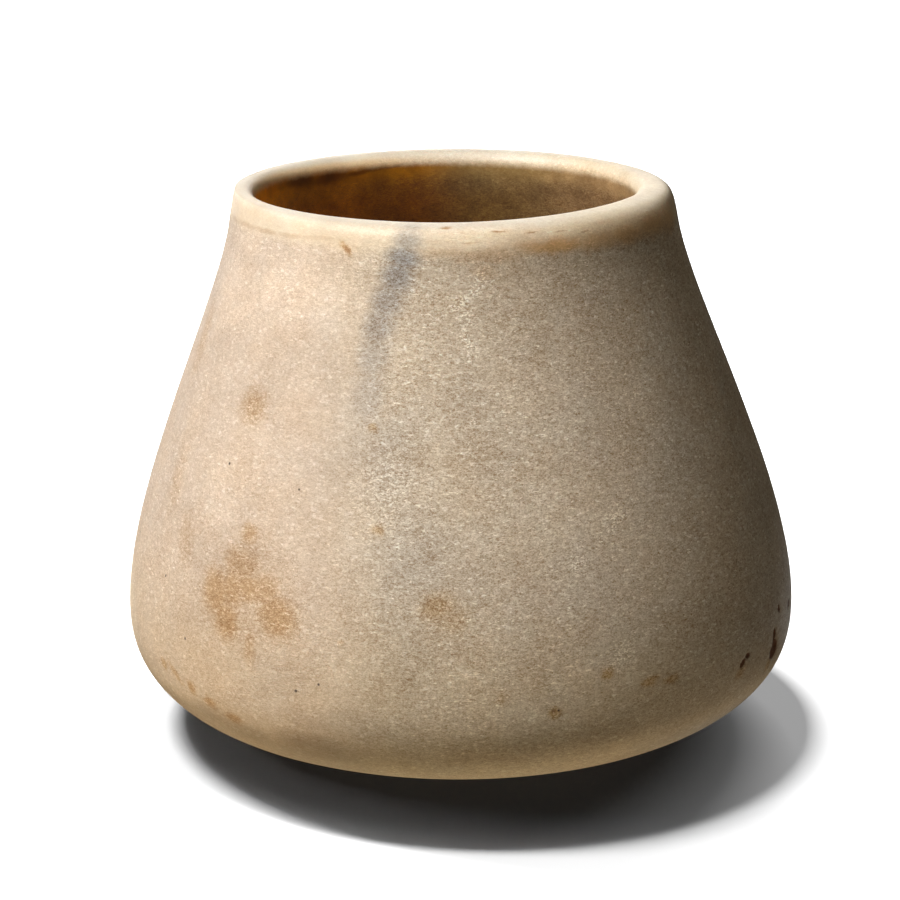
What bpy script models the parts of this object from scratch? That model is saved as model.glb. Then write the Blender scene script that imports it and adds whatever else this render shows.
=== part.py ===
"""Squat alabaster jar, carved in one piece from a block of stone and hollowed by drilling.

It has a wide mouth with a broad rounded lip, sides that flare down to a low belly, and a
rounded base with a small flat face under it. Units are metres, +Z is up, and the origin is
the centre of the face that it rests on.
"""

import math

import bpy

# The outside: heights are above the resting face
HEIGHT = 0.108
CREST_RADIUS = 0.0387  # the lip's highest line
CREST_PULL = 0.0046  # how far out the lip stays level before it rolls over
LIP_FOOT_RADIUS = 0.0445  # where the lip's rounding has run into the side
LIP_FOOT_HEIGHT = 0.1005
LIP_FOOT_PULL = 0.0072
NECK_FLARE = 0.18  # run out for each unit down, where lip and side meet
SHOULDER_PULL = 0.0157  # how far the side keeps the neck's flare
BELLY_RADIUS = 0.0675
BELLY_HEIGHT = 0.0238  # the widest line
BELLY_PULL = 0.0227  # how far the side stays near upright above the belly
HEEL_FULLNESS = 2.39  # power of the rounding; 2 is an ellipse, more is squarer
FOOT_RADIUS = 0.028  # the flat that the jar rests on

# The inside, which follows the outside at the thickness of the wall
MOUTH_ROUNDING = 0.0025  # from the crest in, and down, to the wall of the mouth
MOUTH_PULL = 0.016  # how far the wall goes straight down from the mouth
BELLY_WALL = 0.008
INNER_BELLY_HEIGHT = 0.030
INNER_BELLY_PULL = 0.025
FLOOR_THICKNESS = 0.0095
INNER_HEEL_FULLNESS = 2.2
INNER_FLOOR_RADIUS = 0.018  # the flat in the middle of the floor

# The carver's eye and hand: the belly leans one way, and the mouth is a little out of level
BELLY_LEAN = 0.0016
RIM_RISE_RIGHT = 0.0002
RIM_RISE_BACK = 0.0003
RIM_RISE_POWER = 4  # keeps the tilt near the rim

STEPS_AROUND = 72
WELD_DISTANCE = 0.00001
SHARP_ANGLE = math.radians(40)

ALABASTER_COLOUR = (0.50, 0.37, 0.26, 1.0)
ALABASTER_ROUGHNESS = 0.5


def rounding(centre, across, up, fullness, steps):
    """Quarter of a superellipse, from its end beside the centre to its end above or below it."""
    points = []
    for step in range(steps + 1):
        angle = math.pi / 2 * step / steps
        out = max(math.cos(angle), 0.0) ** (2 / fullness)
        rise = math.sin(angle) ** (2 / fullness)
        points.append((centre[0] + across * out, centre[1] + up * rise))
    return points


def sweep(start, start_pull, end_pull, end, steps):
    """Cubic Bezier curve from start to end; each pull is a handle, measured from its own end."""
    handles = (
        start,
        (start[0] + start_pull[0], start[1] + start_pull[1]),
        (end[0] + end_pull[0], end[1] + end_pull[1]),
        end,
    )
    points = []
    for step in range(steps + 1):
        t = step / steps
        weights = ((1 - t) ** 3, 3 * (1 - t) ** 2 * t, 3 * (1 - t) * t**2, t**3)
        radius = sum(weight * handle[0] for weight, handle in zip(weights, handles))
        height = sum(weight * handle[1] for weight, handle in zip(weights, handles))
        points.append((radius, height))
    return points


def outer_profile():
    """From the lip's crest down the outside to the centre of the resting face."""
    crest = (CREST_RADIUS, HEIGHT)
    lip_foot = (LIP_FOOT_RADIUS, LIP_FOOT_HEIGHT)
    belly = (BELLY_RADIUS, BELLY_HEIGHT)
    flare_length = math.hypot(NECK_FLARE, 1.0)
    out = NECK_FLARE / flare_length
    down = -1.0 / flare_length
    up_to_lip = (-out * LIP_FOOT_PULL, -down * LIP_FOOT_PULL)
    down_the_side = (out * SHOULDER_PULL, down * SHOULDER_PULL)
    lip = sweep(crest, (CREST_PULL, 0.0), up_to_lip, lip_foot, steps=10)
    side = sweep(lip_foot, down_the_side, (0.0, BELLY_PULL), belly, steps=13)
    under_belly = (FOOT_RADIUS, BELLY_HEIGHT)
    heel = rounding(under_belly, BELLY_RADIUS - FOOT_RADIUS, -BELLY_HEIGHT, HEEL_FULLNESS, steps=11)
    return lip + side[1:] + heel[1:] + [(0.0, 0.0)]


def inner_profile():
    """From the centre of the floor inside up the wall to just short of the lip's crest."""
    belly = (BELLY_RADIUS - BELLY_WALL, INNER_BELLY_HEIGHT)
    mouth = (CREST_RADIUS - MOUTH_ROUNDING, HEIGHT - MOUTH_ROUNDING)
    over_floor = (INNER_FLOOR_RADIUS, INNER_BELLY_HEIGHT)
    across = belly[0] - INNER_FLOOR_RADIUS
    drop = FLOOR_THICKNESS - INNER_BELLY_HEIGHT
    heel = rounding(over_floor, across, drop, INNER_HEEL_FULLNESS, steps=8)
    side = sweep(belly, (0.0, INNER_BELLY_PULL), (0.0, -MOUTH_PULL), mouth, steps=9)
    lip = rounding((CREST_RADIUS, mouth[1]), -MOUTH_ROUNDING, MOUTH_ROUNDING, 2.0, steps=4)
    return [(0.0, FLOOR_THICKNESS)] + heel[::-1] + side[1:] + lip[1:-1]


def turned(name, profile, collection):
    """An object turned about Z from a profile of (radius, height) points."""
    mesh = bpy.data.meshes.new(name)
    points = [(radius, 0.0, height) for radius, height in profile]
    edges = [(index, index + 1) for index in range(len(points) - 1)]
    mesh.from_pydata(points, edges, [])
    piece = bpy.data.objects.new(name, mesh)
    collection.objects.link(piece)
    screw = piece.modifiers.new("turn", "SCREW")
    screw.axis = "Z"
    screw.angle = 2 * math.pi
    screw.steps = STEPS_AROUND
    screw.render_steps = STEPS_AROUND
    screw.use_merge_vertices = True
    screw.merge_threshold = WELD_DISTANCE
    return piece


def apply_modifiers(piece):
    view = bpy.context.evaluated_depsgraph_get()
    made = bpy.data.meshes.new_from_object(piece.evaluated_get(view))
    piece.modifiers.clear()
    piece.data = made


def lean_as_carved(piece):
    """Moves the belly off the axis and tips the mouth; the resting face stays flat and centred."""
    for vertex in piece.data.vertices:
        right, back, height = vertex.co
        level = min(max(height / HEIGHT, 0.0), 1.0)
        rise = (RIM_RISE_RIGHT * right + RIM_RISE_BACK * back) / CREST_RADIUS
        vertex.co.x = right + BELLY_LEAN * math.sin(math.pi * math.sqrt(level))
        vertex.co.z = height + rise * level**RIM_RISE_POWER


def alabaster():
    material = bpy.data.materials.new("alabaster")
    material.use_nodes = True
    shader = material.node_tree.nodes["Principled BSDF"]
    shader.inputs["Base Color"].default_value = ALABASTER_COLOUR
    shader.inputs["Roughness"].default_value = ALABASTER_ROUGHNESS
    shader.inputs["Metallic"].default_value = 0.0
    return material


for leftover in list(bpy.data.objects):
    bpy.data.objects.remove(leftover)

jar_parts = bpy.data.collections.new("alabaster jar")
bpy.context.scene.collection.children.link(jar_parts)

jar = turned("jar", inner_profile() + outer_profile(), jar_parts)
apply_modifiers(jar)
lean_as_carved(jar)
jar.data.shade_smooth()
jar.data.set_sharp_from_angle(angle=SHARP_ANGLE)
jar.data.materials.clear()
jar.data.materials.append(alabaster())
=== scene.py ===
"""A squat alabaster jar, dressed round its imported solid: +Z is up, in metres."""

import math

import bmesh
import bpy
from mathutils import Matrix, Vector, noise


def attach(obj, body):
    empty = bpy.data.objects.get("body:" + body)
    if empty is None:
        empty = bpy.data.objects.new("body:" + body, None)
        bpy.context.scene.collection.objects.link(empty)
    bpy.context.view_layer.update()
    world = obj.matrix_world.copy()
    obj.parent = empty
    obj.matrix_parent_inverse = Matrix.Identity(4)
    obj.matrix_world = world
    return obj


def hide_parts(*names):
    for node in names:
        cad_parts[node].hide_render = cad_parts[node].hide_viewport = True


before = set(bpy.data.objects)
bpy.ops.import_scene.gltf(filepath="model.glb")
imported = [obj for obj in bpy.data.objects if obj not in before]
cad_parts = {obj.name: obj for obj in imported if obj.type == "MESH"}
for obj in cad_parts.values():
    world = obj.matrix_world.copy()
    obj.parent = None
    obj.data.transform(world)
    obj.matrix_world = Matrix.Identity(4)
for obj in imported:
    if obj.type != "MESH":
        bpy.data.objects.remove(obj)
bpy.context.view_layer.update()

# The camera: a long lens in front of the jar and a little above its mouth, looking down
# into it.
CAMERA_PLACE = (-0.0006, -0.540, 0.2047)
CAMERA_LENS_MM = 110.84
CAMERA_DOWN = math.radians(15.64)

camera_data = bpy.data.cameras.new("camera")
camera_data.lens = CAMERA_LENS_MM
camera_data.sensor_width = 36.0
camera_data.clip_start = 0.01
camera_data.clip_end = 20.0
camera = bpy.data.objects.new("camera", camera_data)
camera.location = CAMERA_PLACE
camera.rotation_euler = (math.radians(90) - CAMERA_DOWN, 0.0, 0.0)
bpy.context.scene.collection.objects.link(camera)
bpy.context.scene.camera = camera

# The floor: a plain white sheet of paper, wide enough to fill the view behind the jar.
FLOOR_SIDE = 8.0
FLOOR_COLOUR = (0.88, 0.88, 0.88, 1.0)
FLOOR_ROUGHNESS = 0.9

floor_mesh = bmesh.new()
bmesh.ops.create_grid(floor_mesh, x_segments=1, y_segments=1, size=FLOOR_SIDE / 2)
floor_data = bpy.data.meshes.new("floor")
floor_mesh.to_mesh(floor_data)
floor_mesh.free()
floor = bpy.data.objects.new("floor", floor_data)
bpy.context.scene.collection.objects.link(floor)
paper = bpy.data.materials.new("white paper")
paper.use_nodes = True
paper_shader = paper.node_tree.nodes["Principled BSDF"]
paper_shader.inputs["Base Color"].default_value = FLOOR_COLOUR
paper_shader.inputs["Roughness"].default_value = FLOOR_ROUGHNESS
floor.data.materials.append(paper)
floor.visible_diffuse = False
floor.visible_glossy = False

# The light: two large soft boxes high on the left, with weak ones round the jar, which light
# the jar alone; warm light from the paper under it; and strips overhead, which light the
# paper alone and throw the shadow forward.
LIT_POINT = Vector((0.0, 0.0, 0.055))
BOX_DISTANCE = 1.2
BOX_WIDTH = 0.5
STRIP_HEIGHT = 3.6
GLOW_HEIGHT = 0.0007

lit_jar = bpy.data.collections.new("lit jar")
lit_paper = bpy.data.collections.new("lit paper")
lit_paper.objects.link(floor)


def lamp_for(name, place, size, watts, colour, receivers):
    """A rectangular area light that only some pieces receive, unseen by the camera."""
    lamp = bpy.data.lights.new(name, "AREA")
    lamp.shape = "RECTANGLE"
    lamp.size, lamp.size_y = size
    lamp.energy = watts
    lamp.color = colour
    holder = bpy.data.objects.new(name, lamp)
    holder.location = place
    holder.light_linking.receiver_collection = receivers
    holder.visible_camera = False
    bpy.context.scene.collection.objects.link(holder)
    return holder


# Boxes, placed by degrees round from the camera's side, positive to the right, and degrees up
for name, azimuth, elevation, watts, colour in (
    ("high left box", -60, 50, 12.3, (0.88, 0.91, 0.98)),
    ("middle left box", -45, 38, 8.9, (1.0, 0.90, 0.69)),
    ("left rim box", -120, 4, 1.3, (1.0, 0.90, 0.82)),
    ("left back box", -150, 4, 1.5, (1.0, 0.94, 0.88)),
    ("right fill box", 60, 25, 0.86, (1.0, 0.85, 0.64)),
    ("right back box", 120, 25, 0.45, (1.0, 0.92, 0.68)),
    ("back box", 178, 14, 1.9, (1.0, 0.96, 0.90)),
):
    around = math.radians(azimuth)
    up = math.radians(elevation)
    toward = Vector((
        math.sin(around) * math.cos(up),
        -math.cos(around) * math.cos(up),
        math.sin(up),
    ))
    box = lamp_for(
        name, LIT_POINT + toward * BOX_DISTANCE, (BOX_WIDTH, BOX_WIDTH), watts, colour, lit_jar
    )
    box.rotation_euler = (-toward).to_track_quat("-Z", "Y").to_euler()

# What the paper would give back, by place on it, size and power
for name, right, back, size, watts, colour in (
    ("glow beneath", 0.0, 0.0, 0.15, 0.030, (1.0, 0.82, 0.56)),
    ("glow behind left", -0.0707, 0.0707, 0.10, 0.09, (1.0, 0.85, 0.62)),
    ("glow behind right", 0.0707, 0.0707, 0.10, 0.042, (1.0, 1.0, 1.0)),
    ("glow in front left", -0.10, -0.10, 0.10, 0.034, (1.0, 0.88, 0.66)),
    ("glow in front right", 0.141, -0.141, 0.20, 0.010, (1.0, 0.97, 0.80)),
):
    glow = lamp_for(name, (right, back, GLOW_HEIGHT), (size, size), watts, colour, lit_jar)
    glow.rotation_euler = (math.pi, 0.0, 0.0)

for name, right, back, size, watts in (
    ("strip above", -0.58, 1.08, (0.58, 0.25), 151.0),
    ("strip to the left", -2.05, 1.94, (1.08, 0.29), 310.0),
    ("broad strip to the left", -2.16, 1.33, (1.76, 1.91), 46.0),
    ("strip behind", 1.51, 4.72, (2.52, 0.54), 292.0),
    ("strip far right", 5.11, 4.68, (5.0, 2.52), 216.0),
    ("strip far left", -6.12, -0.07, (2.38, 2.52), 49.0),
):
    strip = lamp_for(name, (right, back, STRIP_HEIGHT), size, watts, (1.0, 1.0, 1.0), lit_paper)
    strip.data.cycles.use_multiple_importance_sampling = False

studio = bpy.data.worlds.new("studio")
studio.use_nodes = True
studio.node_tree.nodes["Background"].inputs["Color"].default_value = (1.0, 1.0, 1.0, 1.0)
studio.node_tree.nodes["Background"].inputs["Strength"].default_value = 0.01
bpy.context.scene.world = studio
bpy.context.scene.view_settings.view_transform = "Standard"

# The jar: one block of calcite alabaster, its outside ground round by hand and its inside
# drilled out. The stone is a mass of fine white crystals, with a grey vein down the front,
# rusty stains from the ground it lay in, and a brown deposit left by what it held.
HEIGHT = 0.108
CREST_RADIUS = 0.0387
CREST_PULL = 0.0046
LIP_FOOT_RADIUS = 0.0445
LIP_FOOT_HEIGHT = 0.1005
LIP_FOOT_PULL = 0.0072
NECK_FLARE = 0.18
SHOULDER_PULL = 0.0157
BELLY_RADIUS = 0.0675
BELLY_HEIGHT = 0.0238
BELLY_PULL = 0.0227
HEEL_FULLNESS = 2.39
FOOT_RADIUS = 0.028
MOUTH_ROUNDING = 0.0025
MOUTH_PULL = 0.016
BELLY_WALL = 0.008
INNER_BELLY_HEIGHT = 0.030
INNER_BELLY_PULL = 0.025
FLOOR_THICKNESS = 0.0095
INNER_HEEL_FULLNESS = 2.2
INNER_FLOOR_RADIUS = 0.018
BELLY_LEAN = 0.0016
RIM_RISE_RIGHT = 0.0002
RIM_RISE_BACK = 0.0003
RIM_RISE_POWER = 4
FOOT_RINGS = (0.019, 0.009)
FLOOR_RING = 0.009
FLAT_FOOT = 0.0004  # what lies below this isn't ground out of true
STEPS_AROUND = 320
WELD_DISTANCE = 0.00001
UNDULATION = 0.00010  # how deep the grinding left the surface out of true
UNDULATION_LENGTH = 0.016

# The drill went in off centre: the mouth's wall is thinner on the left, and the lip is a
# little fuller in front on the right.
MOUTH_CUT_LEFT = 0.0029
MOUTH_CUT_FROM = 0.050  # the cut grows between these two heights
MOUTH_CUT_FULL = 0.095
FULL_SIDE = math.radians(48)
FULL_POWER = 6  # more is narrower
FULLER_BY = 0.0011
HIGHER_BY = 0.0003
HIGHER_FROM = 0.098
HIGHER_FULL = 0.105
LIP_TOP_RADIUS = 0.0392  # what lies inside this moves with the mouth
LIP_EDGE_RADIUS = 0.0440  # and what lies outside this stays

# Pits and marks are placed by degrees round from the front, positive to the right, and by
# millimetres above the foot; then come half the width, half the height and the turn in
# degrees, and for a pit its depth in millimetres.
PITS = (
    (65.6, 20.7, 2.4, 2.1, 4, 0.50),
    (65.4, 24.0, 1.1, 1.6, 4, 0.35),
    (53.2, 22.4, 1.9, 0.7, 32, 0.35),
    (54.7, 23.4, 1.0, 0.8, 0, 0.30),
    (68.2, 28.2, 1.0, 1.0, 10, 0.30),
    (76.0, 26.2, 2.0, 1.0, 0, 0.30),
    (14.4, 22.1, 0.8, 0.6, -40, 0.16),
    (15.7, 21.4, 0.6, 0.5, 0, 0.14),
)
PIT_NEIGHBOURHOOD = 4.5  # millimetres round a pit whose faces are cut finer
PIT_ENDS = 1.25  # these two are shares of the way to a pit's edge
PIT_FULL_DEPTH = 0.35
PIT_RAGGEDNESS = 0.35
PIT_RAGGED_LENGTH = 0.001 / 0.9


def rounding(centre, across, up, fullness, steps):
    """Quarter of a superellipse, from its end beside the centre to its end above or below."""
    points = []
    for step in range(steps + 1):
        angle = math.pi / 2 * step / steps
        out = max(math.cos(angle), 0.0) ** (2 / fullness)
        rise = math.sin(angle) ** (2 / fullness)
        points.append((centre[0] + across * out, centre[1] + up * rise))
    return points


def sweep(start, start_pull, end_pull, end, steps):
    """Cubic Bezier from start to end; each pull is a handle, measured from its own end."""
    handles = (
        Vector(start),
        Vector(start) + Vector(start_pull),
        Vector(end) + Vector(end_pull),
        Vector(end),
    )
    points = []
    for step in range(steps + 1):
        t = step / steps
        weights = ((1 - t) ** 3, 3 * (1 - t) ** 2 * t, 3 * (1 - t) * t**2, t**3)
        point = sum((handle * weight for handle, weight in zip(handles, weights)), Vector((0, 0)))
        points.append(tuple(point))
    return points


flare = Vector((NECK_FLARE, -1.0)).normalized()
crest = (CREST_RADIUS, HEIGHT)
lip_foot = (LIP_FOOT_RADIUS, LIP_FOOT_HEIGHT)
belly = (BELLY_RADIUS, BELLY_HEIGHT)
lip_line = sweep(crest, (CREST_PULL, 0.0), -flare * LIP_FOOT_PULL, lip_foot, 18)
side_line = sweep(lip_foot, flare * SHOULDER_PULL, (0.0, BELLY_PULL), belly, 100)
heel_line = rounding(
    (FOOT_RADIUS, BELLY_HEIGHT), BELLY_RADIUS - FOOT_RADIUS, -BELLY_HEIGHT, HEEL_FULLNESS, 48
)
outside = lip_line + side_line[1:] + heel_line[1:]
outside += [(radius, 0.0) for radius in FOOT_RINGS] + [(0.0, 0.0)]

inner_belly = (BELLY_RADIUS - BELLY_WALL, INNER_BELLY_HEIGHT)
mouth = (CREST_RADIUS - MOUTH_ROUNDING, HEIGHT - MOUTH_ROUNDING)
inner_heel = rounding(
    (INNER_FLOOR_RADIUS, INNER_BELLY_HEIGHT),
    inner_belly[0] - INNER_FLOOR_RADIUS,
    FLOOR_THICKNESS - INNER_BELLY_HEIGHT,
    INNER_HEEL_FULLNESS,
    20,
)
inner_side = sweep(inner_belly, (0.0, INNER_BELLY_PULL), (0.0, -MOUTH_PULL), mouth, 44)
inner_lip = rounding((CREST_RADIUS, mouth[1]), -MOUTH_ROUNDING, MOUTH_ROUNDING, 2.0, 7)
inside = [(0.0, FLOOR_THICKNESS), (FLOOR_RING, FLOOR_THICKNESS)]
inside += inner_heel[::-1] + inner_side[1:] + inner_lip[1:-1]

jar_mesh = bmesh.new()
outer_face = jar_mesh.verts.layers.float.new("outside")
pit_depth = jar_mesh.verts.layers.float.new("pit")
line = [jar_mesh.verts.new((radius, 0.0, height)) for radius, height in inside + outside]
for vertex in line[len(inside):]:
    vertex[outer_face] = 1.0
for first, second in zip(line, line[1:]):
    jar_mesh.edges.new((first, second))
bmesh.ops.spin(
    jar_mesh,
    geom=jar_mesh.verts[:] + jar_mesh.edges[:],
    cent=(0.0, 0.0, 0.0),
    axis=(0.0, 0.0, 1.0),
    angle=2 * math.pi,
    steps=STEPS_AROUND,
    use_merge=True,
    use_duplicate=False,
)
bmesh.ops.remove_doubles(jar_mesh, verts=jar_mesh.verts, dist=WELD_DISTANCE)
bmesh.ops.recalc_face_normals(jar_mesh, faces=jar_mesh.faces)


def round_jar(point):
    """Degrees round from the front, and millimetres up from the foot."""
    return math.degrees(math.atan2(point.x, -point.y)), point.z * 1000


def from_mark(point, mark):
    """How far a point is from a mark's middle: 1 at its edge. It also gives millimetres away."""
    around, height = round_jar(point)
    radius = math.hypot(point.x, point.y) * 1000
    across = math.radians(around - mark[0]) * radius
    up = height - mark[1]
    turn = math.radians(mark[4])
    along = across * math.cos(turn) + up * math.sin(turn)
    over = up * math.cos(turn) - across * math.sin(turn)
    return math.hypot(along / mark[2], over / mark[3]), math.hypot(across, up)


pitted = [
    face for face in jar_mesh.faces
    if face.verts[0][outer_face] > 0.5
    and min(from_mark(face.calc_center_median(), pit)[1] for pit in PITS) < PIT_NEIGHBOURHOOD
]
bmesh.ops.subdivide_edges(
    jar_mesh,
    edges=list(dict.fromkeys(edge for face in pitted for edge in face.edges)),
    cuts=2,
    use_grid_fill=True,
)


def ease(value, low, high):
    """0 at low and 1 at high, smooth between and level beyond."""
    t = min(max((value - low) / (high - low), 0.0), 1.0)
    return t * t * (3 - 2 * t)


for vertex in jar_mesh.verts:
    right, back, height = vertex.co
    radius = math.hypot(right, back)
    if radius > 0.001:
        moves = ease(height, MOUTH_CUT_FROM, MOUTH_CUT_FULL)
        if vertex[outer_face] > 0.5:
            moves *= ease(radius, LIP_EDGE_RADIUS, LIP_TOP_RADIUS)
        left = max(-right / radius, 0.0)
        around = math.atan2(right, -back)
        full = max(math.cos(around - FULL_SIDE), 0.0) ** FULL_POWER
        vertex.co.x -= MOUTH_CUT_LEFT * left**2 * moves
        vertex.co.x -= FULLER_BY * full * moves * right / radius
        vertex.co.y -= FULLER_BY * full * moves * back / radius
        vertex.co.z += HIGHER_BY * full * ease(height, HIGHER_FROM, HIGHER_FULL)

jar_mesh.normal_update()
ground = []
for vertex in jar_mesh.verts:
    wave = noise.noise(vertex.co / UNDULATION_LENGTH)
    depth = UNDULATION * (0.5 - 0.5 * wave)
    if vertex[outer_face] > 0.5:
        for pit in PITS:
            away = from_mark(vertex.co, pit)[0]
            ragged = PIT_RAGGEDNESS * noise.noise(vertex.co / PIT_RAGGED_LENGTH)
            sunk = ease(away - ragged, PIT_ENDS, PIT_FULL_DEPTH)
            depth += pit[5] * 0.001 * sunk
            vertex[pit_depth] = max(vertex[pit_depth], sunk * min(pit[5] * 2, 1.0))
    if vertex.co.z < FLAT_FOOT:
        depth = 0.0
    ground.append(vertex.co - vertex.normal * depth)
for vertex, place in zip(jar_mesh.verts, ground):
    vertex.co = place

for vertex in jar_mesh.verts:
    right, back, height = vertex.co
    level = min(max(height / HEIGHT, 0.0), 1.0)
    rise = (RIM_RISE_RIGHT * right + RIM_RISE_BACK * back) / CREST_RADIUS
    vertex.co.x = right + BELLY_LEAN * math.sin(math.pi * math.sqrt(level))
    vertex.co.z = height + rise * level**RIM_RISE_POWER

jar_data = bpy.data.meshes.new("alabaster_jar")
jar_mesh.to_mesh(jar_data)
jar_mesh.free()
jar_data.shade_smooth()
jar = bpy.data.objects.new("alabaster_jar", jar_data)
bpy.context.scene.collection.objects.link(jar)
jar.visible_diffuse = False
lit_jar.objects.link(jar)


class Shade:
    """A shader socket that Python's operators can do sums on."""

    def __init__(self, socket):
        self.socket = socket

    def node(self, kind, values, settings=None, output=0):
        """Another node in the same material; values are numbers, or shades to link."""
        tree = self.socket.id_data
        made = tree.nodes.new("ShaderNode" + kind)
        for name, setting in (settings or {}).items():
            setattr(made, name, setting)
        for name, value in values.items():
            if isinstance(value, Shade):
                tree.links.new(value.socket, made.inputs[name])
            else:
                made.inputs[name].default_value = value
        return Shade(made.outputs[output])

    def maths(self, operation, *values):
        return self.node("Math", dict(enumerate(values)), {"operation": operation})

    def __add__(self, other):
        return self.maths("ADD", self, other)

    __radd__ = __add__

    def __sub__(self, other):
        return self.maths("SUBTRACT", self, other)

    def __rsub__(self, other):
        return self.maths("SUBTRACT", other, self)

    def __mul__(self, other):
        return self.maths("MULTIPLY", self, other)

    __rmul__ = __mul__

    def rise(self, low, high, top=1.0):
        """0 below low and top above high, and the other way round where low is the greater."""
        values = {"Value": self, "From Min": low, "From Max": high, "To Max": top}
        return self.node("MapRange", values, {"interpolation_type": "SMOOTHSTEP"})

    def stretch(self, factors):
        values = {0: self, 1: factors}
        return self.node("VectorMath", values, {"operation": "MULTIPLY"})

    def shifted(self, clouds, distance):
        """This place, moved up to half that distance each way by three noises."""
        half = (distance / 2, distance / 2, distance / 2)
        back = self.node("VectorMath", {0: self, 1: half}, {"operation": "SUBTRACT"})
        values = {0: clouds, 1: (distance, distance, distance), 2: back}
        return self.node("VectorMath", values, {"operation": "MULTIPLY_ADD"})

    def after(self, earlier):
        """This place, worked out only after an earlier shade: a renderer holds few at once."""
        values = {0: self, "Scale": 1.0 + earlier * 0.000001}
        return self.node("VectorMath", values, {"operation": "SCALE"})

    def noise(self, size, detail=2.0, roughness=0.5, output=0):
        """Cloudy noise with lumps of that size in millimetres; output 1 is three noises."""
        values = {"Vector": self, "Scale": 1 / size, "Detail": detail, "Roughness": roughness}
        return self.node("TexNoise", values, output=output)

    def crystals(self, size):
        """A grey of its own for each crystal of that size in millimetres."""
        values = {"Vector": self, "Scale": 1 / size}
        return self.node("TexVoronoi", values, output=1).first_part()

    def first_part(self):
        """The red of a colour, or the first of three noises."""
        return self.node("SeparateColor", {0: self})

    def mix(self, first, second, how="MIX"):
        """Two colours mixed by this shade."""
        values = {0: self, 6: first, 7: second}
        return self.node("Mix", values, {"data_type": "RGBA", "blend_type": how}, output=2)

    def stain(self, under, colour):
        """A colour multiplied by another one where this shade covers it."""
        return self.mix(under, (*colour, 1.0), "MULTIPLY")


def outer_radius(height):
    """The outside's radius in millimetres at a height in millimetres."""
    rows = [(r * 1000, z * 1000) for r, z in outside]
    for (r1, z1), (r2, z2) in zip(rows, rows[1:]):
        if z2 <= height <= z1:
            return r1 + (r2 - r1) * (z1 - height) / max(z1 - z2, 0.000001)
    return rows[0][0]


def on_surface(around, height, radius=None):
    """The place in millimetres of a point on the outside, or at another radius."""
    radius = radius or outer_radius(height)
    angle = math.radians(around)
    lean = BELLY_LEAN * 1000 * math.sin(math.pi * math.sqrt(height / (HEIGHT * 1000)))
    return (radius * math.sin(angle) + lean, -radius * math.cos(angle), height)


MARK_DEPTH = 5.0
MARK_FADES_FROM = 0.25  # these two are shares of the way to a mark's edge
MARK_ENDS = 1.35


def stained(place, marks, radius=None):
    """How strongly soft-edged marks cover a place; the last number of each is its strength."""
    cover = None
    for around, height, half_width, half_height, turn, strength in marks:
        middle = on_surface(around, height, radius)
        if turn or height > LIP_FOOT_HEIGHT * 1000:
            values = {
                "Vector": place,
                "Location": middle,
                "Rotation": (0.0, -math.radians(turn), math.radians(around)),
                "Scale": (half_width, MARK_DEPTH, half_height),
            }
            beside = place.node("Mapping", values, {"vector_type": "TEXTURE"})
        else:
            scale = (1 / half_width, 1 / half_width, 1 / half_height)
            back = tuple(-part * size for part, size in zip(middle, scale))
            values = {0: place, 1: scale, 2: back}
            beside = place.node("VectorMath", values, {"operation": "MULTIPLY_ADD"})
        away = beside.node("VectorMath", {0: beside}, {"operation": "LENGTH"}, output=1)
        falloff = away.rise(MARK_ENDS, MARK_FADES_FROM, strength)
        cover = falloff if cover is None else cover.maths("MAXIMUM", cover, falloff)
    return cover


alabaster = bpy.data.materials.new("alabaster")
alabaster.use_nodes = True
stone = alabaster.node_tree.nodes["Principled BSDF"]
texture_place = alabaster.node_tree.nodes.new("ShaderNodeTexCoord")
place = Shade(texture_place.outputs["Object"]).stretch((1000.0, 1000.0, 1000.0))
height = place.node("SeparateXYZ", {0: place}, output=2)
outer = place.node("Attribute", {}, {"attribute_name": "outside"}, output=2)
pit = place.node("Attribute", {}, {"attribute_name": "pit"}, output=2)

# The crystals, wider than tall, each with its own grey, and the pale edges of some
grain_place = place.stretch((1.0, 1.0, 1.6))
small_crystals = grain_place.crystals(0.34)
large_crystals = grain_place.crystals(0.8)
dust = grain_place.noise(0.28, 2.0, 0.7)
grit = grain_place.noise(1.3, 4.0, 0.72)
long_place = place.stretch((1.0, 1.0, 3.6))
crowding = place.noise(7.0, 3.0, 0.6).rise(0.42, 0.66)
pale_edges = long_place.noise(1.15, 2.0, 0.6).rise(0.57, 0.72)
dark_edges = long_place.noise(1.0, 2.0, 0.6).rise(0.42, 0.28)
fine_grain = (small_crystals - 0.5) * 1.3 + (dust - 0.5) * 4.0 + (grit - 0.5) * 2.4
sugar = fine_grain + (large_crystals - 0.5) * 0.5 - 0.13
sugar = sugar + pale_edges * (1.1 + crowding * 1.0) - dark_edges * 0.30

# Broad drifts of tone and of warmer and cooler stone
drift = place.noise(9.0, 3.0, 0.55)
warmth = place.stretch((1.0, 1.0, 0.8)).noise(14.0, 3.0, 0.6)
ragged = place.noise(2.2, 4.0, 0.65, output=1)
soft_place = place.shifted(ragged, 2.2)
straighter_place = place.shifted(ragged, 1.0)

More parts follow.
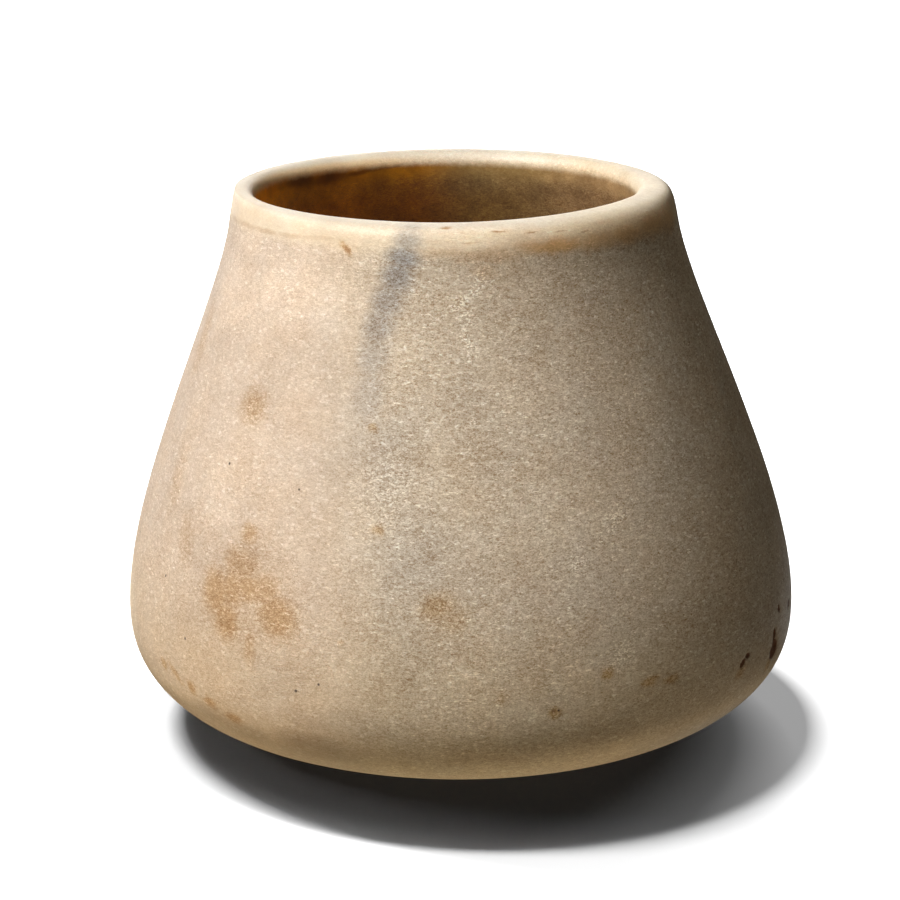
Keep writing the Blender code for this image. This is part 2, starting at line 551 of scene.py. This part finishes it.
VEIN = (
    (-11.0, 107.0, 2.8, 1.4, 0, 0.35),
    (-11.4, 105.0, 3.2, 2.6, 0, 0.75),
    (-12.2, 102.0, 3.6, 3.2, -14, 0.92),
    (-13.5, 98.6, 3.6, 4.4, -17, 0.85),
    (-15.5, 94.2, 3.5, 4.8, -17, 0.72),
    (-17.2, 89.8, 3.5, 5.0, -14, 0.62),
    (-17.9, 85.0, 3.6, 5.6, -8, 0.50),
    (-18.0, 78.0, 3.8, 7.0, 0, 0.36),
    (-13.0, 66.0, 8.0, 12.0, 0, 0.26),
    (-9.0, 52.0, 8.0, 12.0, 0, 0.20),
)
WHITE_STREAKS = (
    (5.2, 97.3, 1.2, 2.8, -24, 1.0),
    (1.0, 94.2, 2.6, 1.2, 28, 0.8),
    (2.4, 91.6, 1.3, 2.8, -6, 0.75),
    (2.6, 87.0, 1.3, 3.4, 4, 0.65),
    (28.0, 55.5, 3.2, 2.2, 30, 0.5),
    (20.0, 48.7, 2.2, 2.6, -40, 0.5),
    (26.0, 31.3, 3.2, 2.4, 40, 0.6),
    (-14.0, 62.0, 6.0, 9.0, 0, 0.35),
    (-45.2, 71.8, 3.0, 2.6, 0, 0.45),
)
RUST = (
    (-39.2, 50.6, 2.6, 2.6, 0, 0.85),
    (-39.8, 45.0, 5.6, 4.6, 0, 0.80),
    (-44.8, 39.0, 4.4, 5.6, 22, 1.0),
    (-41.6, 34.6, 3.8, 4.6, 30, 1.0),
    (-37.6, 41.2, 4.6, 3.4, 0, 0.95),
    (-41.2, 40.2, 4.6, 4.4, 0, 0.95),
    (-34.0, 41.4, 4.4, 4.2, 20, 0.85),
    (-31.3, 37.3, 5.8, 4.6, -12, 1.0),
    (-36.2, 30.8, 1.7, 3.8, 0, 0.60),
    (-37.5, 40.5, 12.0, 11.0, 0, 0.30),
    (-55.5, 45.0, 3.0, 6.5, 24, 0.40),
    (-64.5, 56.0, 3.2, 9.0, 8, 0.35),
    (-45.2, 72.6, 4.2, 4.2, 0, 0.72),
    (-3.8, 42.0, 3.8, 3.0, 10, 0.80),
    (-1.6, 39.8, 3.6, 2.8, 10, 0.50),
    (-14.3, 54.8, 1.5, 1.1, 0, 0.9),
    (-16.8, 72.3, 1.1, 0.9, 0, 1.0),
    (-75.0, 80.0, 3.4, 9.0, 10, 0.45),
    (-50.3, 18.4, 1.4, 1.7, 0, 1.0),
    (-58.7, 20.4, 1.6, 1.4, 0, 0.9),
    (-45.7, 16.8, 2.0, 1.4, 0, 1.0),
    (-40.8, 14.9, 2.5, 1.2, 0, 1.0),
    (-55.0, 19.8, 3.6, 1.0, -30, 0.75),
    (-19.5, 34.3, 0.9, 0.6, 30, 0.6),
    (23.3, 28.3, 1.7, 1.3, 20, 0.95),
    (31.0, 25.2, 2.1, 1.1, 15, 1.0),
    (35.4, 24.6, 2.1, 1.0, 0, 0.9),
    (14.5, 21.8, 1.6, 1.3, -20, 1.0),
    (6.0, 25.6, 1.2, 1.6, 0, 0.45),
    (63.8, 18.4, 1.6, 1.6, 0, 1.0),
    (52.6, 20.8, 2.2, 1.3, 20, 0.8),
    (-26.8, 102.9, 1.9, 0.8, -38, 0.9),
)
FADED = (
    (-40.0, 45.4, 5.4, 4.6, 0, 0.70),
    (-42.0, 40.0, 9.0, 9.0, 0, 0.50),
    (-33.0, 39.0, 7.0, 6.0, 0, 0.35),
    (-45.4, 72.8, 4.4, 4.2, 0, 0.55),
    (33.0, 16.5, 22.0, 2.2, 0, 0.3),
)
BROWN = (
    (25.0, 103.5, 8.0, 1.7, 0, 1.00),
    (38.0, 103.2, 8.0, 1.9, 0, 0.70),
    (48.0, 103.5, 8.0, 2.1, 0, 0.80),
    (60.0, 103.8, 8.0, 2.6, 0, 0.80),
    (70.0, 103.4, 6.0, 3.2, 0, 0.70),
    (8.0, 102.4, 8.0, 1.6, 0, 0.45),
    (7.0, 99.8, 2.8, 1.8, 0, 0.40),
    (-3.0, 103.0, 5.0, 1.2, 0, 0.35),
)
CREASES = (
    (-74.0, 103.2, 4.2, 0.55, -3, 0.35),
    (-64.0, 103.5, 5.0, 0.60, 0, 0.42),
    (-54.0, 103.6, 5.0, 0.60, 0, 0.48),
    (-45.0, 103.8, 4.4, 0.55, 3, 0.38),
    (-35.0, 104.3, 5.0, 0.45, 3, 0.25),
    (-26.4, 102.7, 1.1, 0.5, -38, 0.9),
    (11.0, 106.7, 1.7, 0.17, 0, 1.0),
    (19.4, 106.3, 1.2, 0.15, 0, 0.9),
    (-2.0, 107.3, 1.2, 0.17, 0, 1.0),
    (4.0, 104.9, 2.0, 0.16, 2, 0.40),
    (27.0, 106.0, 1.6, 0.16, 3, 0.6),
    (34.0, 105.6, 1.1, 0.18, 8, 0.6),
)
# A painted shadow on the inner wall under the lip, on the left behind, where the lip keeps the
# light off
PAINTED_LIP_SHADOW = (
    (-113.0, 104.8, 4.5, 1.1, 6, 0.30),
    (-124.0, 104.7, 6.0, 1.5, 2, 1.0),
    (-136.0, 104.4, 6.5, 1.5, -4, 1.0),
    (-149.0, 105.0, 6.0, 0.7, -8, 0.9),
    (-160.0, 105.6, 6.0, 0.35, -8, 0.8),
    (-171.0, 106.0, 5.0, 0.28, -4, 0.5),
)
# Paler marks: those on the left are paler stone; those on the lip, on the right and just above
# the foot are painted light
PALE_AND_PAINTED_LIGHT = (
    (-38.0, 95.0, 16.0, 9.0, 0, 0.85),
    (-62.0, 93.0, 14.0, 11.0, 0, 0.6),
    (-30.0, 101.0, 16.0, 3.0, 0, 0.85),
    (-58.0, 100.5, 16.0, 3.4, 0, 0.9),
    (-48.0, 64.0, 16.0, 16.0, 0, 0.30),
    (20.0, 60.0, 22.0, 26.0, 0, 0.40),
    (16.0, 24.0, 20.0, 9.0, 0, 0.45),
    (17.0, 11.5, 24.0, 4.5, 0, 0.95),
    (8.0, 105.8, 9.0, 2.0, 0, 0.75),
    (20.0, 105.8, 8.0, 1.4, 0, 0.55),
    (-60.0, 87.0, 9.0, 2.4, 30, 1.0),
    (62.0, 106.0, 9.0, 1.7, 0, 0.90),
    (49.0, 105.5, 9.0, 1.4, 0, 0.80),
    (27.0, 105.9, 9.0, 1.1, 0, 0.55),
)
# Greyer marks: those low down, in a band above the foot, are painted shade
GREY_AND_PAINTED_SHADE = (
    (-25.0, 13.8, 10.0, 3.0, 0, 0.8),
    (-24.0, 11.3, 12.0, 2.6, 0, 0.5),
    (-20.0, 17.8, 16.0, 4.0, 0, 0.40),
    (-46.0, 14.5, 9.0, 3.0, 0, 0.85),
    (-10.0, 34.0, 10.0, 9.0, 0, 0.30),
    (-40.0, 12.5, 9.0, 3.4, 0, 0.8),
    (-42.0, 17.0, 14.0, 5.0, 0, 0.45),
    (-49.0, 27.0, 12.0, 12.0, 0, 0.40),
    (-36.0, 26.0, 16.0, 6.0, 0, 0.45),
    (45.0, 15.5, 12.0, 4.0, 6, 0.5),
    (36.0, 90.0, 8.0, 9.0, 0, 0.25),
)
SPECKS = (
    (-48.0, 61.8, 0.30), (-60.0, 37.6, 0.30), (-27.0, 24.2, 0.32), (-30.2, 60.2, 0.24),
    (-51.5, 28.0, 0.30), (-23.0, 26.2, 0.26), (15.2, 22.3, 0.24), (-79.0, 40.0, 0.30),
)

vein = stained(straighter_place, VEIN)
pale = stained(place, PALE_AND_PAINTED_LIGHT)
grey = stained(place, GREY_AND_PAINTED_SHADE)
brown = stained(soft_place, BROWN) * outer
white_streaks = stained(soft_place, WHITE_STREAKS)
rust = stained(soft_place.after(vein), RUST)
faded = stained(soft_place.after(rust), FADED)
creases = stained(place.shifted(ragged, 0.7).after(rust), CREASES)
painted_lip_shadow = stained(straighter_place.after(rust), PAINTED_LIP_SHADOW, CREST_RADIUS * 1000 - 0.8)
speck = None
for around, up, radius in SPECKS:
    away = place.node(
        "VectorMath", {0: place, 1: on_surface(around, up)}, {"operation": "DISTANCE"}, output=1
    )
    dot = away.rise(radius * 1.3, radius * 0.6)
    speck = dot if speck is None else speck.maths("MAXIMUM", speck, dot)

# How strongly the grain shows: less on the left, where the grain is painted flatter as on a
# brightly lit side, low down where the stone is worn, and on the smooth lip
smooth_lip = height.rise(101.5, 104.5)
rightward = place.node("SeparateXYZ", {0: place}, output=0)
flatter_where_lit = rightward.rise(-8.0, -24.0) * (0.32 + height.rise(36.0, 66.0) * 0.16)
worn = height.rise(40.0, 20.0) * 0.2 + height.rise(18.0, 10.0) * 0.2
contrast = 0.36 + 0.16 * vein + 0.16 * rust - 0.22 * smooth_lip
contrast = contrast * (1.0 - flatter_where_lit) * (1.0 - worn)
contrast = contrast * (1.0 - 0.4 * height.rise(105.8, 107.8))
glints = white_streaks * (small_crystals.rise(0.62, 0.80) * 2.4 + pale_edges)
mottle = (sugar + glints) * contrast + (drift - 0.5) * 0.44
mottle = mottle.maths("MINIMUM", mottle, 0.9)

# The clean stone, with its paler and greyer parts, some of them painted light and painted shade
clean = warmth.rise(0.3, 0.7).mix((0.588, 0.492, 0.388, 1.0), (0.618, 0.502, 0.378, 1.0))
flakes = large_crystals.rise(0.90, 1.0) * 0.35 * (1.0 - smooth_lip)
clean = flakes.mix(clean, (0.80, 0.72, 0.62, 1.0))
clean = pale.stain(clean, (1.26, 1.27, 1.28))
clean = grey.stain(clean, (0.70, 0.68, 0.66))

# Pinker on the left and yellower towards the foot; low down, painted bounce light at the front
# and left, and painted shade on both sides
pinker = rightward.rise(-10.0, -30.0) * (1.0 - smooth_lip)
yellower = rightward.rise(60.0, 36.0)
clean = pinker.stain(clean, (1.02, 0.982, 1.0))
clean = (height.rise(45.0, 22.0) * yellower).stain(clean, (1.0, 0.975, 0.90))
clean = (height.rise(21.0, 11.0) * yellower).stain(clean, (1.0, 0.96, 0.86))
painted_bounce_light = height.rise(13.5, 8.0) * rightward.rise(38.0, 8.0)
painted_shade_low_right = height.rise(15.0, 9.0) * rightward.rise(28.0, 52.0)
painted_shade_low_left = height.rise(17.0, 11.5) * rightward.rise(-10.0, -26.0)
# Painted light: the heel brightened as if by light from the paper
clean = painted_bounce_light.stain(clean, (1.24, 1.30, 1.32))
# Painted shade low down, on the right and on the left
clean = painted_shade_low_right.stain(clean, (0.60, 0.66, 0.82))
clean = painted_shade_low_left.stain(clean, (0.82, 0.81, 0.80))

# The lip, polished by hands, with a painted highlight along its crest, creases and a brown band
# under it
clean = smooth_lip.stain(clean, (1.30, 1.30, 1.26))
# A painted highlight: the crest's top whiter and cooler
clean = height.rise(106.4, 107.6).stain(clean, (1.03, 1.10, 1.20))
clean = (rightward.rise(14.0, 28.0) * smooth_lip).stain(clean, (1.03, 0.99, 0.91))
clean = creases.stain(clean, (0.62, 0.46, 0.32))
clean = brown.stain(clean, (0.86, 0.65, 0.42))

# What the ground left on it
speckled_rust = rust * (1.0 + sugar * -0.30)
soiled = speckled_rust.stain(clean, (0.80, 0.655, 0.46))
soiled = faded.stain(soiled, (0.80, 0.78, 0.76))
soiled = vein.stain(soiled, (0.49, 0.54, 0.66))
soiled = speck.mix(soiled, (0.12, 0.09, 0.07, 1.0))
soiled = pit.rise(0.1, 0.5).mix(soiled, (0.16, 0.062, 0.024, 1.0))
warmed = (1.0 - outer) * height.rise(107.9, 106.7) * rightward.rise(0.0, -24.0)
soiled = warmed.stain(soiled, (1.18, 1.03, 0.82))

# The brown deposit inside, more golden on the left, where light comes through the wall
deposit_edge = height + ragged.first_part()
deposited = deposit_edge.rise(107.2, 105.4) * (1.0 - outer)
deposit = place.noise(5.0, 4.0, 0.6).rise(0.3, 0.7)
deposit = deposit.mix((0.175, 0.098, 0.032, 1.0), (0.265, 0.155, 0.054, 1.0))
thin_deposit = height.rise(101.0, 104.5) * (1.0 - rightward.rise(-8.0, -28.0))
thick_deposit = height.rise(102.0, 97.0) * rightward.rise(20.0, 4.0)
deposit = thin_deposit.stain(deposit, (1.55, 1.70, 1.85))
deposit = rightward.rise(12.0, 30.0).stain(deposit, (1.10, 1.08, 1.35))
deposit = thick_deposit.stain(deposit, (0.96, 0.84, 0.55))
deposit = rightward.rise(6.0, -10.0).stain(deposit, (1.22, 0.74, 0.10))
deposit = rightward.rise(-14.0, -25.0).stain(deposit, (1.95, 1.90, 1.2))
deposit = rightward.rise(-32.0, -38.5).stain(deposit, (1.9, 1.95, 1.7))
# The painted shadow under the inner lip darkens the deposit
deposit = painted_lip_shadow.stain(deposit, (0.36, 0.28, 0.10))
body = deposited.mix(soiled, deposit)

# The dark grains are warmer and the bright ones whiter
light = mottle.node(
    "CombineColor", {0: 1.0 + mottle * 0.84, 1: 1.0 + mottle * 1.05, 2: 1.0 + mottle * 1.28}
)
multiplied = {"data_type": "RGBA", "blend_type": "MULTIPLY"}
colour = light.node("Mix", {0: 1.0, 6: body, 7: light}, multiplied, output=2)

stone_tree = alabaster.node_tree
stone_tree.links.new(colour.socket, stone.inputs["Base Color"])
relief = fine_grain * 0.026 * (1.0 - 0.6 * smooth_lip)
bump = relief.node("Bump", {"Strength": 1.0, "Distance": 0.001, "Height": relief})
stone_tree.links.new(bump.socket, stone.inputs["Normal"])
stone_tree.links.new((0.58 - 0.16 * smooth_lip).socket, stone.inputs["Roughness"])
stone.inputs["Subsurface Weight"].default_value = 0.2
stone.inputs["Subsurface Radius"].default_value = (1.0, 0.6, 0.4)
stone.inputs["Subsurface Scale"].default_value = 0.003
jar_data.materials.append(alabaster)

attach(jar, "root")
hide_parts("jar")
